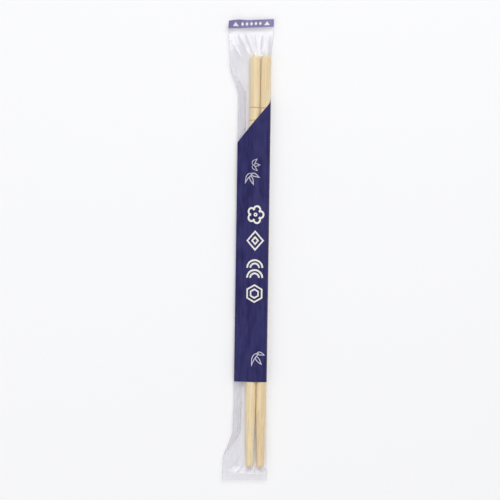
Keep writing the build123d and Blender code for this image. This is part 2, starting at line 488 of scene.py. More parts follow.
def wrapped_point(across, upper, radius, crease, reach, turned):
    """(x, height over the mid-plane) of a panel's middle, a distance across from the right crease."""
    meet_right = math.acos(min(1.0, radius / crease))
    meet_left = math.acos(radius / reach)
    flank = math.sqrt(max(0.0, crease**2 - radius**2))
    right_arc = radius * (math.pi / 2 - meet_right)
    left_arc = radius * (math.pi / 2 - meet_left)
    wing = math.sqrt(reach**2 - radius**2)
    edge_x = left_x - reach
    past_edge = across - (flat_width - turned)
    if past_edge > 0:
        return folded_point(past_edge, upper, edge_x, math.asin(radius / reach))
    if across < flank:
        share = across / flank
        touch_x = radius * math.cos(meet_right)
        touch_height = radius * math.sin(meet_right)
        x, height = right_x + crease + (touch_x - crease) * share, touch_height * share
    elif across < flank + right_arc:
        angle = meet_right + (across - flank) / radius
        x, height = right_x + radius * math.cos(angle), radius * math.sin(angle)
    elif across < flank + right_arc + pitch:
        share = (across - flank - right_arc) / pitch
        x, height = right_x - pitch * share, radius - bridge_sag * math.sin(math.pi * share) ** 2
    elif across < flank + right_arc + pitch + left_arc:
        angle = math.pi / 2 + (across - flank - right_arc - pitch) / radius
        x, height = left_x + radius * math.cos(angle), radius * math.sin(angle)
    else:
        share = 1 - (flat_width - turned - across) / wing
        touch_x = left_x - radius * math.cos(meet_left)
        touch_height = radius * math.sin(meet_left)
        x, height = touch_x + (edge_x - touch_x) * share, touch_height * (1 - share)
    height = max(height, half_gap)
    return x, height if upper else -height


def folded_point(past_edge, upper, edge_x, slope):
    """The same beyond the wing's edge: round the narrow turn, then along the flap under the wing."""
    offset = half_gap if upper else -half_gap
    angle = min(past_edge / nose_radius, math.pi - slope)
    flap = max(0.0, past_edge - (math.pi - slope) * nose_radius)
    turn = math.pi / 2 + angle
    x = edge_x + (nose_radius + offset) * math.cos(turn)
    height = -nose_radius + (nose_radius + offset) * math.sin(turn)
    return x - flap * math.sin(turn), height + flap * math.cos(turn)


# %% [markdown]
# ## Life in the film
#
# Film that has been packed is never quite even. The sealed ends droop and wave, one corner curls up, the
# wing ripples gently, short sharp creases run from the ends of the sticks to the seals, and the seals
# carry fine ribs from the hot jaws. All of it is one small shift for each point of the panels.

# %% Short sharp creases
crease_lines = [
    # from x, y to x, y, with the height and half-width of the ridge
    (-0.3, 93.6, -6.4, 105.4, 0.34, 0.42),
    (1.6, 94.9, -2.6, 105.6, 0.22, 0.34),
    (3.4, 95.3, 2.2, 105.7, 0.20, 0.30),
    (5.2, 95.2, 5.9, 105.2, 0.30, 0.40),
    (8.0, 95.0, 8.9, 105.6, 0.24, 0.32),
    (9.7, 93.5, 10.6, 103.5, 0.22, 0.36),
    (-3.0, 90.0, -9.6, 102.0, 0.26, 0.50),
    (-5.6, 84.0, -9.4, 94.0, 0.16, 0.40),
    (0.2, -104.4, -4.6, -108.7, 0.26, 0.34),
    (2.3, -105.0, 0.6, -108.8, 0.20, 0.26),
    (4.9, -104.2, 4.6, -108.8, 0.28, 0.32),
    (7.4, -105.1, 8.0, -108.8, 0.20, 0.26),
    (9.0, -104.3, 10.4, -108.6, 0.26, 0.32),
    (-2.6, -100.0, -7.6, -107.4, 0.20, 0.44),
    (-0.6, 58.0, -5.2, 46.0, 0.07, 0.30),
    (-0.9, 21.0, -5.3, 30.0, 0.06, 0.26),
    (-0.8, -8.0, -5.3, -19.0, 0.07, 0.30),
    (-1.0, -44.0, -5.3, -36.0, 0.06, 0.26),
    (-0.9, -63.0, -5.2, -76.0, 0.08, 0.32),
    (-0.6, -82.0, -5.4, -90.0, 0.09, 0.30),
]


def ridges(x, y):
    """Height of the sharp creases at a place, outwards."""
    total = 0.0
    for from_x, from_y, to_x, to_y, height, width in crease_lines:
        run_x, run_y = to_x - from_x, to_y - from_y
        length = math.hypot(run_x, run_y)
        along = ((x - from_x) * run_x + (y - from_y) * run_y) / length**2
        if 0 < along < 1:
            away = ((x - from_x) * run_y - (y - from_y) * run_x) / length
            total += height * math.sin(math.pi * along) ** 0.8 * math.exp(-abs(away / width) ** 1.4)
    return total


# %% Ribs across the seals
rib_height, rib_spacing = 0.028, 0.9
ribbed = [(top_seal_y + 0.2, sleeve_top - 0.3), (sleeve_bottom + 0.3, bottom_seal_y - 0.1)]


def ribs(y):
    """Height of the fine ribs, which is 0 outside the ribbed stretches."""
    if not any(low < y < high for low, high in ribbed):
        return 0.0
    return rib_height / 2 * (1 - math.cos(2 * math.pi * (y - top_seal_y) / rib_spacing))


# %% How far a panel stands off its plain form
top_seal_run, bottom_seal_run = 1.2, 0.8      # over which creases run out towards the seals
held_ridge_share = 0.35          # of a crease's height, where the sticks hold the film
crumple_height, calm_share = 0.10, 0.15       # near the ends, and the share of it between them
crumple_across, crumple_along, crumple_slice = 0.55, 0.22, 3.7
lively_above_y, lively_above_run = 90.0, 6.0
lively_below_y, lively_below_run = -98.0, 5.0


def outward(x, y, free):
    """How far a panel stands off its plain form. Free is 0 where the sticks hold it and 1 elsewhere."""
    place = Vector((x * crumple_across, y * crumple_along, crumple_slice))
    near_top = eased((y - lively_above_y) / lively_above_run)
    near_bottom = eased((lively_below_y - y) / lively_below_run)
    near_ends = max(near_top, near_bottom)
    lively = abs(noise.noise(place)) * crumple_height * (calm_share + (1 - calm_share) * near_ends) * free
    top_weld = eased((y - top_seal_y + top_seal_run) / top_seal_run)
    bottom_weld = eased((bottom_seal_y + bottom_seal_run - y) / bottom_seal_run)
    sharp = ridges(x, y) * (held_ridge_share + (1 - held_ridge_share) * free)
    return (sharp + lively) * (1.0 - max(top_weld, bottom_weld)) + ribs(y)


# %% How the whole sleeve drifts up and down
top_droop, bottom_droop = 0.75, 0.30
top_wave, bottom_wave = (0.42, 0.30, 0.9), (0.16, 0.62, 2.0)     # height, radians a millimetre, start
wing_waves = [(0.20, 0.203, 0.4), (0.10, 0.457, 2.1)]
wing_from_x, wing_run = 0.6, 5.5
ruffle_height, ruffle_along = 0.12, 0.11
ruffle_across, ruffle_slice = 0.2, 8.3


def wave(place, height, pace, start):
    """A sine wave along a place, which turns by so many radians for each millimetre."""
    return height * math.sin(place * pace + start)


def drift(x, y):
    """A shift up or down that both panels share."""
    top = max(0.0, (y - head_y) / (sleeve_top - head_y))
    bottom = max(0.0, (tip_y - y) / (tip_y - sleeve_bottom))
    lift = -top_droop * top**2 + wave(x, *top_wave) * top**1.5
    lift += -bottom_droop * bottom**2 + wave(x, *bottom_wave) * bottom
    on_wing = eased((wing_from_x - x) / wing_run)
    ripple = sum(wave(y, *values) for values in wing_waves)
    ripple += ruffle_height * noise.noise(Vector((ruffle_across, y * ruffle_along, ruffle_slice)))
    return lift + on_wing * ripple


# %% How the top left corner curls
corner_line = Vector((-11.0, 104.2, 0))
corner_direction = Vector((-0.60, 0.80, 0))
curl_radius, curl_degrees = 4.2, 40.0


def curled(x, y, height):
    """The top left corner rolled up round a slanting line, with its length kept."""
    past = (x - corner_line.x) * corner_direction.x + (y - corner_line.y) * corner_direction.y
    if past <= 0:
        return x, y, height
    most = math.radians(curl_degrees)
    angle = min(most, past / curl_radius)
    rest = past - angle * curl_radius
    flat = (curl_radius - height) * math.sin(angle) + rest * math.cos(angle)
    rise = curl_radius - (curl_radius - height) * math.cos(angle) + rest * math.sin(angle)
    back = past - flat
    return x - corner_direction.x * back, y - corner_direction.y * back, rise


# %% [markdown]
# ## The film as a grid
#
# The form above is read at a grid of places, finer where the film turns narrowly and near both ends. The
# columns of the grid follow the fold where it runs out, so its edge stays smooth there. The grid then
# serves twice: it becomes the sleeve, and everything printed is laid on it.

# %% Read the form at a grid of places
turn_from = flat_width - full_turn
across_spans = [
    # from, to, and the number of columns: the open panel, the narrow turn and the flap
    (0.0, turn_from - 0.3, 54),
    (turn_from - 0.15, turn_from + 0.95, 14),
    (turn_from + 1.3, flat_width, 9),
]
along_spans = [
    # from y, to y, and the step between rows
    (sleeve_bottom, bottom_seal_y, 0.15),
    (bottom_seal_y, -98.0, 0.34),
    (-98.0, -86.0, 0.75),
    (-86.0, 74.0, 1.4),
    (74.0, 86.0, 0.75),
    (86.0, top_seal_y, 0.34),
]
top_seal_rows = np.linspace(top_seal_y, sleeve_top, 41)      # fine enough for the seal's ribs
across_places = np.concatenate([np.linspace(*span) for span in across_spans])
along_places = np.concatenate([*(np.arange(*span) for span in along_spans), top_seal_rows])
least_turned = 0.9               # width of the columns past the fold where nothing is turned under
hair = 1e-9                      # keeps the crease past the film's radius where the two are equal


def fold_at(y):
    """Where the columns of the grid have the fold, across from the right crease."""
    return flat_width - max(turned_under(y), least_turned)


def across_on(y):
    """The places across the film at y, moved so that the same columns run along the fold."""
    return np.interp(across_places, [0.0, turn_from, flat_width], [0.0, fold_at(y), flat_width])


def marks_of(places):
    """Signed places round the whole loop: below zero on the lower panel, above it on the upper one."""
    return np.concatenate([-places[::-1] - half_gap, places + half_gap])


def film_row(y):
    """Points of the whole loop at y: the lower panel from the left crease, then the upper one back."""
    taper = min(1.0, max(0.0, (y - tip_y) / (taper_y - tip_y)))
    radius = tip_film_radius + (body_film_radius - tip_film_radius) * taper
    crease = body_film_radius + tip_crease_stand_off * (1 - taper) + hair
    turned = turned_under(y)
    reach = wing_reach(radius, crease, turned)
    flat_share = flatness(y)
    row = []
    for upper in (False, True):
        side = []
        for across in across_on(y):
            x, height = wrapped_point(across, upper, radius, crease, reach, turned)
            flat_height = half_gap if upper else -half_gap
            x += (flat_width / 2 - across - x) * flat_share
            height += (flat_height - height) * flat_share
            side.append((x, height))
        row += side if upper else side[::-1]
    return row


film_plain = np.array([film_row(y) for y in along_places])
row_count, loop_count = film_plain.shape[:2]
panel_count = len(across_places)
plain_marks = marks_of(across_places)
across_marks = np.array([marks_of(across_on(y)) for y in along_places])
print(f"film grid: {row_count} rows of {loop_count} points")


# %% Shift each point, and find which way the film faces
film_free = np.zeros((row_count, loop_count))
held_to, loose_over = 2.2, 1.4   # from a stick's axis: where film is held, and over what it comes free
skew, skew_from_y, skew_run = 0.058, 95.0, 14.0


def film_points():
    """The middle of the film, with each point shifted. Fills in how free the film is as it goes."""
    points = np.zeros((row_count, loop_count, 3))
    for row, y in enumerate(along_places):
        for column in range(loop_count):
            x, height = film_plain[row, column]
            upper = column >= panel_count
            over = min(abs(x - right_x), abs(x - left_x))
            held = 1.0 if tip_y < y < head_y else 0.0
            free = 1.0 - held * (1.0 - eased((over - held_to) / loose_over))
            past_fold = abs(across_marks[row, column]) > flat_width - turned_under(y)
            puff = 0.0 if past_fold else outward(x, y, free)
            height += puff if upper else -puff
            height += drift(x, y)
            film_free[row, column] = free
            drawn_over = skew * x * eased((y - skew_from_y) / skew_run)
            points[row, column] = curled(x, y + drawn_over, height)
    points[:, :, 2] += mid_height
    return points


def film_normals(points):
    """The direction square to the film at each point, the same side of it all over."""
    round_loop = np.roll(points, -1, axis=1) - np.roll(points, 1, axis=1)
    along = np.gradient(points, axis=0)
    normals = np.cross(along, round_loop)
    return normals / np.linalg.norm(normals, axis=2, keepdims=True)


film_middle = film_points()
film_facing = film_normals(film_middle)
top_of_stick = panel_count + 20  # a column that lies on top of the right stick, where outside is up
if film_facing[row_count // 2, top_of_stick, 2] < 0:
    film_facing = -film_facing
film_outside = film_middle + film_facing * film_thickness / 2
film_inside = film_middle - film_facing * film_thickness / 2
film_heights = film_outside[:, :, 2]
print(f"film lies between {film_heights.min():.3f} and {film_heights.max():.3f} mm above the table")


# %% [markdown]
# ## The sleeve's mesh
#
# The film has a true thickness: an outer skin, and an inner one that ends where the seals begin, since
# both panels are welded into one there. Each skin is a closed tube with its ends shut.

# %% Skin the grid with quads
def skin(rows):
    """Quads over so many rows of the loop, with a narrow strip that shuts each end."""
    faces = []
    for row in range(rows - 1):
        for column in range(loop_count):
            after = (column + 1) % loop_count
            low, high = row * loop_count, (row + 1) * loop_count
            faces.append([low + column, low + after, high + after, high + column])
    for row, turn in ((0, 1), (rows - 1, -1)):
        base = row * loop_count
        for column in range(panel_count - 1):
            lower, upper = base + column, base + loop_count - 1 - column
            face = [lower, upper, upper - 1, lower + 1]
            faces.append(face[::turn])
    return faces


first_inner = int(np.argmin(abs(along_places - bottom_seal_y)))
last_inner = int(np.argmin(abs(along_places - top_seal_y)))
outer_points = film_outside.reshape(-1, 3)
inner_points = film_inside[first_inner : last_inner + 1].reshape(-1, 3)
outer_faces = facing_out(outer_points, skin(row_count))
inner_faces = facing_out(inner_points, skin(last_inner - first_inner + 1), outwards=False)
shifted = [[index + len(outer_points) for index in face] for face in inner_faces]
sleeve_mesh = mesh_of("sleeve", np.vstack([outer_points, inner_points]), outer_faces + shifted)


# %% Mark where the film is hazier
free_haze, weld_haze, crease_haze, turn_haze, ridge_haze = 0.24, 0.45, 0.8, 0.6, 0.7
haziest_ridge = 3.2              # a crease is fully hazy where its height times this is 1
top_weld_run, bottom_weld_run = 0.8, 0.6      # over which haze comes and goes
right_crease_run, left_crease_run = 0.5, 0.6
turn_middle, turn_run = 0.3, 0.6              # of the haze round the narrow turn


def haze_shares():
    """Film is a little milky where it is free, and more so where it is creased, folded or welded."""
    shares = np.zeros((row_count, loop_count))
    for row, y in enumerate(along_places):
        welded = max(eased((y - top_seal_y) / top_weld_run), eased((bottom_seal_y - y) / bottom_weld_run))
        for column in range(loop_count):
            across = abs(across_marks[row, column]) - half_gap
            x = film_plain[row, column][0]
            at_right = eased(1 - across / right_crease_run)
            at_left = eased(1 - (flat_width - across) / left_crease_run)
            at_crease = max(at_right, at_left)
            past_turn = across - (flat_width - turned_under(y))
            at_turn = eased(1 - abs(past_turn - turn_middle) / turn_run)
            creased = min(1.0, ridges(x, y) * haziest_ridge)
            worked = weld_haze * welded + crease_haze * at_crease + turn_haze * at_turn
            worked += ridge_haze * creased
            shares[row, column] = min(1.0, free_haze * film_free[row, column] + worked)
    return shares


haze = haze_shares()
haze_values = np.concatenate([haze.reshape(-1), haze[first_inner : last_inner + 1].reshape(-1)])
haze_attribute = sleeve_mesh.attributes.new("haze", "FLOAT", "POINT")
haze_attribute.data.foreach_set("value", haze_values.astype(np.float32))

# %% [markdown]
# ### Clear film
#
# Thin film does not bend what is seen through it, so it lets light straight on instead of refracting
# it as thick glass would. A little gloss that grows at grazing angles comes from the angle at which the
# surface is seen, and a faint milkiness is added where the attribute says so.

# %% The film material
def film_bump(tree):
    """The slight unevenness of thin film, which its own gloss and the gloss of the print share."""
    ripple = soft_noise(tree, 1.3, 12.0)
    return step(tree, "ShaderNodeBump", {"Height": ripple, "Strength": 0.25, "Distance": 0.05 * MM})


film_tint = (0.990, 0.989, 0.992, 1)
milk_grey = (214, 212, 224)
least_milk, haze_milk, dust_milk = 0.010, 0.15, 0.016     # everywhere, at full haze, and in dusty spots
least_gloss, grazing_gloss = 0.022, 0.75


def clear_film():
    material, tree, output = new_material("clear_film")

    # A share of milk is mixed into the clear film, by the attribute and in dusty spots.
    amount = step(tree, "ShaderNodeAttribute", {}, "Fac", attribute_name="haze")
    dust = remap(tree, soft_noise(tree, 1.6, 9.0), 0.35, 0.7, 0.0, dust_milk)
    milk = calc(tree, "ADD", calc(tree, "MULTIPLY_ADD", amount, haze_milk, least_milk), dust)
    clear = step(tree, "ShaderNodeBsdfTransparent", {"Color": film_tint})
    sockets = {"Base Color": linear(*milk_grey), "Roughness": 0.4, "Specular IOR Level": 0.3}
    body = step(tree, "ShaderNodeBsdfPrincipled", sockets)
    hazy = step(tree, "ShaderNodeMixShader", {0: milk, 1: clear, 2: body})

    # The gloss is faint where the film is seen straight on, and strong where it is seen at a low angle.
    facing = step(tree, "ShaderNodeLayerWeight", {"Blend": 0.5}, "Facing")
    grazing = calc(tree, "POWER", facing, 5.0)
    shine = calc(tree, "MULTIPLY_ADD", grazing, grazing_gloss, least_gloss)
    sockets = {"Color": (1, 1, 1, 1), "Roughness": 0.17, "Normal": film_bump(tree)}
    gloss = step(tree, "ShaderNodeBsdfAnisotropic", sockets)
    whole = step(tree, "ShaderNodeMixShader", {0: shine, 1: hazy, 2: gloss})
    tree.links.new(whole, output.inputs["Surface"])
    return material


film_material = clear_film()
sleeve = as_piece("sleeve", sleeve_mesh, film_material)

# %% [markdown]
# ## Print
#
# Ink is a very thin layer on the outside of the film. Each shape is first drawn flat, as on the printer's
# plate, with its place given across and along the film. Then it is laid on the grid, a hair above the
# film, with a thickness of its own, so it follows every curve and ripple.

# %% Lay a flat shape on the film
def plain_place(across, along):
    """Places across the film as they were before the columns were moved to follow the fold."""
    places = np.abs(across) - half_gap
    folds = np.array([fold_at(y) for y in along])
    before = places * turn_from / folds
    past = turn_from + (places - folds) * full_turn / (flat_width - folds)
    plain = np.sign(across) * (np.where(places < folds, before, past) + half_gap)
    return np.where(places > 0, plain, across)


def on_film(across, along, lifts):
    """Points above the film's outside at places across (from the right crease) and along it."""
    across, along = plain_place(np.asarray(across, float), along), np.asarray(along, float)
    column = np.clip(np.searchsorted(plain_marks, across) - 1, 0, loop_count - 2)
    row = np.clip(np.searchsorted(along_places, along) - 1, 0, row_count - 2)
    over_column = (across - plain_marks[column]) / (plain_marks[column + 1] - plain_marks[column])
    over_row = (along - along_places[row]) / (along_places[row + 1] - along_places[row])
    over_column, over_row = np.clip(over_column, 0, 1)[:, None], np.clip(over_row, 0, 1)[:, None]

    def read(grid):
        low = grid[row, column] * (1 - over_column) + grid[row, column + 1] * over_column
        high = grid[row + 1, column] * (1 - over_column) + grid[row + 1, column + 1] * over_column
        return low * (1 - over_row) + high * over_row

    normals = read(film_facing)
    normals /= np.linalg.norm(normals, axis=1, keepdims=True)
    return read(film_outside) + normals * np.asarray(lifts)[:, None]


def with_next(corners):
    """Each corner of a face with the one after it."""
    return zip(corners, corners[1:] + corners[:1])


def anticlockwise(face, places):
    """A flat face with its corners in the order that makes its area positive."""
    corners = [places[index] for index in face]
    twice_area = sum(this[0] * after[1] - this[1] * after[0] for this, after in with_next(corners))
    return list(face) if twice_area > 0 else list(face)[::-1]


def laid_print(name, places, faces, low, high, material):
    """A closed layer of ink between two heights over the film. Places are across, along, extra height."""
    faces = [anticlockwise(face, places) for face in faces]
    across, along, extra = np.array(places).T
    points = np.vstack([on_film(across, along, extra + high), on_film(across, along, extra + low)])
    count = len(places)
    edges = {edge for face in faces for edge in with_next(face)}
    rim = [(start, end) for start, end in sorted(edges) if (end, start) not in edges]
    walls = [[end, start, start + count, end + count] for start, end in rim]
    under = [[index + count for index in face[::-1]] for face in faces]
    closed = facing_out(points, faces + under + walls)
    return as_piece(name, mesh_of(name, points, closed, sharp_degrees=35), material)


# %% [markdown]
# ### Ink
#
# Printed ink on glossy film is smooth but not perfectly even: it is a touch denser in places and has
# the film's own gloss. The fine lines of the sprigs take less white than the broad shapes do, so the
# navy under them dulls it, and they get a white of their own.

# %% The ink materials
def ink(name, colour, deep, roughness, gloss):
    """An ink that runs from one colour to a deeper one: in soft spots, in a fine grain, and in broad
    streaks of painted shade called folds.
    """
    material, tree, output = new_material(name)
    density = soft_noise(tree, 1.4, 6.0, 4.0, 0.55)
    grain = soft_noise(tree, 0.16, 0.16, 2.0)
    # Folds: broad soft streaks along the sleeve, made deeper as painted shade like that of wrinkles in the
    # film. They lie at random, not on the film's real creases.
    folds = soft_noise(tree, 3.2, 13.0, 2.0)
    share = remap(tree, density, 0.3, 0.7, 0.0, 0.4)
    share = calc(tree, "ADD", share, remap(tree, grain, 0.3, 0.7, 0.0, 0.15))
    share = calc(tree, "ADD", share, remap(tree, folds, 0.35, 0.65, 0.0, 0.45))
    shader = step(
        tree,
        "ShaderNodeBsdfPrincipled",
        {
            "Base Color": mixed(tree, share, linear(*colour), linear(*deep)),
            "Roughness": remap(tree, density, 0.2, 0.8, roughness - 0.04, roughness + 0.06),
            "Specular IOR Level": gloss,
            "Normal": film_bump(tree),
        },
    )
    tree.links.new(shader, output.inputs["Surface"])
    return material


navy_ink = ink("navy_ink", (55, 52, 105), (29, 27, 75), 0.38, 0.14)
violet_ink = ink("violet_ink", (138, 130, 174), (120, 112, 160), 0.38, 0.18)
white_ink = ink("white_ink", (240, 238, 230), (230, 228, 220), 0.42, 0.3)
leaf_ink = ink("leaf_ink", (206, 203, 213), (196, 193, 205), 0.42, 0.3)

# %% [markdown]
# ### The navy band
#
# The band runs from below the right stick's side, over both sticks and the wing, and round the turned
# edge. Its upper edge is cut on a slant on the flat film, so it steepens by itself where the film turns
# down at the right stick.

# %% Lay the band
ink_low, ink_high = 0.010, 0.030              # of the ink's two faces over the film's outside
band_low_y, band_top_right_y = measured("printed_band", "y")[:2]
band_slant = 1.2                 # drop of the upper edge for each millimetre across the film
band_wrap_degrees = 24.0         # round the right stick, below its middle
band_on_flap = 2.4
band_start = -(math.radians(band_wrap_degrees) * body_film_radius + half_gap)
band_end = turn_from + math.pi * nose_radius + band_on_flap
band_rows = 112
least_column = 0.05

first_mark, last_mark = band_start + least_column, band_end - least_column
inner_marks = [mark for mark in plain_marks if first_mark < mark < last_mark]
band_marks = [band_start] + inner_marks + [band_end]
band_places = []
for mark in band_marks:
    top_y = band_top_right_y - band_slant * (mark - band_start)
    for share in np.linspace(0, 1, band_rows):
        band_places.append((mark, band_low_y + (top_y - band_low_y) * share, 0.0))


def grid_faces(columns, rows):
    """Quads over a grid of points that runs column by column."""
    faces = []
    for column in range(columns - 1):
        for row in range(rows - 1):
            near, far = column * rows + row, (column + 1) * rows + row
            faces.append([near, far, far + 1, near + 1])
    return faces


band_faces = grid_faces(len(band_marks), band_rows)
band = laid_print("band_print", band_places, band_faces, ink_low, ink_high, navy_ink)

# %% [markdown]
# ### The violet strip
#
# The strip crosses the welded top end from crease to crease, and its rows are as fine as the seal's ribs.

# %% Lay the strip
strip_margin = 0.15              # of clear film above it
strip_low_y, strip_high_y = measured("printed_strip", "y").low, sleeve_top - strip_margin
strip_rows = 24
strip_marks = [mark for mark in across_marks[-1] if mark >= half_gap]
strip_heights = np.linspace(strip_low_y, strip_high_y, strip_rows)
strip_places = [(mark, y, 0.0) for mark in strip_marks for y in strip_heights]
strip_faces = grid_faces(len(strip_marks), strip_rows)
strip = laid_print("strip_print", strip_places, strip_faces, ink_low, ink_high, violet_ink)

# %% [markdown]
# ### White leaf sprigs
#
# A bamboo sprig is three leaves, each drawn as an outline. A leaf follows one rule: its half-width swells
# from the stem and runs out to a point, and the line is the edge of that form, so the point fills in by
# itself as a pen's line would. The tree draws one side of a leaf, mirrors it, bows the whole leaf to one
# side and turns it. At the stem the line is filled, so that both sides are one piece of ink.

# %% The tree that draws a leaf
stem_share = 0.06                # of a leaf's length, where the line is filled
line_join = 0.01                 # points of one line that lie nearer than this become one


def unit_grid(tree, across_count, along_count):
    """A square of side 1 on the origin, with its points' X and Y as numbers."""
    sockets = {"Size X": 1.0, "Size Y": 1.0, "Vertices X": across_count, "Vertices Y": along_count}
    grid = step(tree, "GeometryNodeMeshGrid", sockets, "Mesh")
    position = step(tree, "GeometryNodeInputPosition", {})
    x, y = (step(tree, "ShaderNodeSeparateXYZ", {"Vector": position}, axis) for axis in "XY")
    return grid, x, y


def moved_to(tree, mesh, x, y):
    """The mesh with each of its points at x, y."""
    place = step(tree, "ShaderNodeCombineXYZ", {"X": x, "Y": y})
    return step(tree, "GeometryNodeSetPosition", {"Geometry": mesh, "Position": place})


def leaf_tree():
    tree, given = new_tree("leaf", [], ["Length", "Half Width", "Line Width", "Bow", "Turn"])
    grid, grid_x, grid_y = unit_grid(tree, 3, 21)
    along = calc(tree, "ADD", grid_y, 0.5)
    across = calc(tree, "ADD", grid_x, 0.5)
    swell = calc(tree, "SINE", calc(tree, "MULTIPLY", calc(tree, "POWER", along, 0.6), math.pi))
    edge = calc(tree, "MULTIPLY", calc(tree, "MAXIMUM", swell, 0.0), given["Half Width"])
    inside = calc(tree, "MAXIMUM", calc(tree, "SUBTRACT", edge, given["Line Width"]), 0.0)
    past_stem = calc(tree, "GREATER_THAN", along, stem_share)
    inside = calc(tree, "MULTIPLY", inside, past_stem)
    side = calc(tree, "ADD", inside, calc(tree, "MULTIPLY", calc(tree, "SUBTRACT", edge, inside), across))
    reach = calc(tree, "MULTIPLY", along, given["Length"])
    arch = calc(tree, "SINE", calc(tree, "MULTIPLY", calc(tree, "POWER", along, 0.8), math.pi))
    bend = calc(tree, "MULTIPLY", arch, given["Bow"])

    leaf = tree.nodes.new("GeometryNodeJoinGeometry")
    for sign in (1.0, -1.0):
        half = moved_to(tree, grid, calc(tree, "MULTIPLY_ADD", side, sign, bend), reach)
        tree.links.new(half, leaf.inputs[0])
    sockets = {"Geometry": leaf.outputs[0], "Distance": line_join}
    joined = step(tree, "GeometryNodeMergeByDistance", sockets)
    rotation = step(tree, "ShaderNodeCombineXYZ", {"Z": given["Turn"]})
    turned = step(tree, "GeometryNodeTransform", {"Geometry": joined, "Rotation": rotation})
    return finish_tree(tree, given, turned)


# %% Helpers that gather flat shapes and place them
def across_at(x, y):
    """The place across the film, on the upper panel, that lies over x."""
    row = int(np.clip(np.searchsorted(along_places, y), 0, row_count - 1))
    upper_marks = across_marks[row, panel_count:]
    last = int(np.searchsorted(upper_marks, flat_width - turned_under(along_places[row])))
    xs, marks = film_middle[row, panel_count:, 0][:last], upper_marks[:last]
    return float(np.interp(-x, -xs, marks))


def place_flat(mesh, x, y, places, faces, stretch=1.0, lift=0.0):
    """Adds a flat shape to the lists, with its own origin over x, y. Across runs leftwards."""
    centre = across_at(x, y)
    start = len(places)
    for vertex in mesh.vertices:
        places.append((centre - vertex.co.x, y + vertex.co.y * stretch, vertex.co.z + lift))
    for face in mesh.polygons:
        faces.append([start + index for index in face.vertices])
    bpy.data.meshes.remove(mesh)


# %% Draw and lay the sprigs
white_low, white_high = 0.038, 0.056
layer_step = 0.004               # between lines that cross
one_leaf_tree = leaf_tree()
leaf_rows = [
    # stem over x, y, point over x, y, half-width, bow, line width
    (1.77, 41.19, 4.08, 44.38, 0.88, -0.45, 0.32),
    (1.77, 41.38, 4.27, 38.35, 0.88, 0.45, 0.32),
    (2.20, 41.30, 5.55, 41.30, 0.80, 0.0, 0.32),
    (1.77, 37.20, -2.08, 31.96, 0.95, 1.05, 0.42),
    (0.90, 36.85, 5.42, 35.04, 0.92, -0.30, 0.42),
    (0.62, 35.92, 2.42, 31.38, 0.92, 0.0, 0.42),
    (6.12, -49.95, 2.46, -56.60, 0.95, 1.20, 0.42),
    (4.77, -50.23, 9.12, -51.08, 0.90, -0.40, 0.42),
    (4.38, -51.60, 7.54, -55.75, 0.95, 0.0, 0.42),
]
leaf_places, leaf_faces = [], []
for index, (x, y, point_x, point_y, half_width, bow, leaf_line) in enumerate(leaf_rows):
    flat = grown(
        one_leaf_tree,
        {
            "Length": math.hypot(point_x - x, point_y - y),
            "Half Width": half_width,
            "Line Width": leaf_line,
            "Bow": bow,
            "Turn": math.atan2(x - point_x, point_y - y),
            "Material": leaf_ink,
        },
    )
    place_flat(flat, x, y, leaf_places, leaf_faces, lift=layer_step * (index % 3))
leaves = laid_print("leaf_print", leaf_places, leaf_faces, white_low, white_high, leaf_ink)

# %% [markdown]
# ### Four traditional shapes
#
# A plum blossom, a diamond, waves and a tortoiseshell hexagon stand one under another on the band. All
# four are lines at an even distance from a centre: arcs set round a ring make the blossom, half rings
# make the waves, and a ring with only four or six steps is a diamond or a hexagon. So one tree draws all.

# %% The tree that draws arcs round a centre
def arcs_tree():
    sizes = ["Radius", "Centre Distance", "Start", "Sweep", "Line Width", "Layer Step"]
    tree, given = new_tree("arcs round a centre", ["Count", "Steps", "Finer"], sizes)
    grid, grid_x, grid_y = unit_grid(tree, 2, calc(tree, "ADD", given["Steps"], 1.0))
    turn = calc(tree, "MULTIPLY", calc(tree, "ADD", grid_y, 0.5), given["Sweep"])
    angle = calc(tree, "ADD", turn, given["Start"])
    half = calc(tree, "MULTIPLY", grid_x, given["Line Width"])
    reach = calc(tree, "MAXIMUM", calc(tree, "ADD", given["Radius"], half), 0.0)
    x = calc(tree, "MULTIPLY", reach, calc(tree, "COSINE", angle))
    y = calc(tree, "MULTIPLY", reach, calc(tree, "SINE", angle))
    arc = moved_to(tree, grid, calc(tree, "ADD", x, given["Centre Distance"]), y)
    finer = step(tree, "GeometryNodeSubdivideMesh", {"Mesh": arc, "Level": given["Finer"]})
    closed = step(tree, "GeometryNodeMergeByDistance", {"Geometry": finer, "Distance": line_join})
    layer = step(tree, "ShaderNodeCombineXYZ", {"Z": given["Layer Step"]})
    points = step(tree, "GeometryNodeMeshLine", {"Count": given["Count"], "Offset": layer})
    share = calc(tree, "DIVIDE", step(tree, "GeometryNodeInputIndex", {}), given["Count"])
    rotation = step(tree, "ShaderNodeCombineXYZ", {"Z": calc(tree, "MULTIPLY", share, 2 * math.pi)})
    sockets = {"Points": points, "Instance": closed, "Rotation": rotation}
    return finish_tree(tree, given, step(tree, "GeometryNodeInstanceOnPoints", sockets))


# %% Draw and lay the four shapes
arc_tree = arcs_tree()


def arcs(count, radius, distance, start, sweep, line, steps, finer=0):
    """One run of the tree, with angles in degrees and lengths in millimetres."""
    values = {
        "Count": count,
        "Radius": radius,
        "Centre Distance": distance,
        "Start": math.radians(start),
        "Sweep": math.radians(sweep),
        "Line Width": line,
        "Steps": steps,
        "Finer": finer,
        "Layer Step": layer_step,
        "Material": white_ink,
    }
    return grown(arc_tree, values)


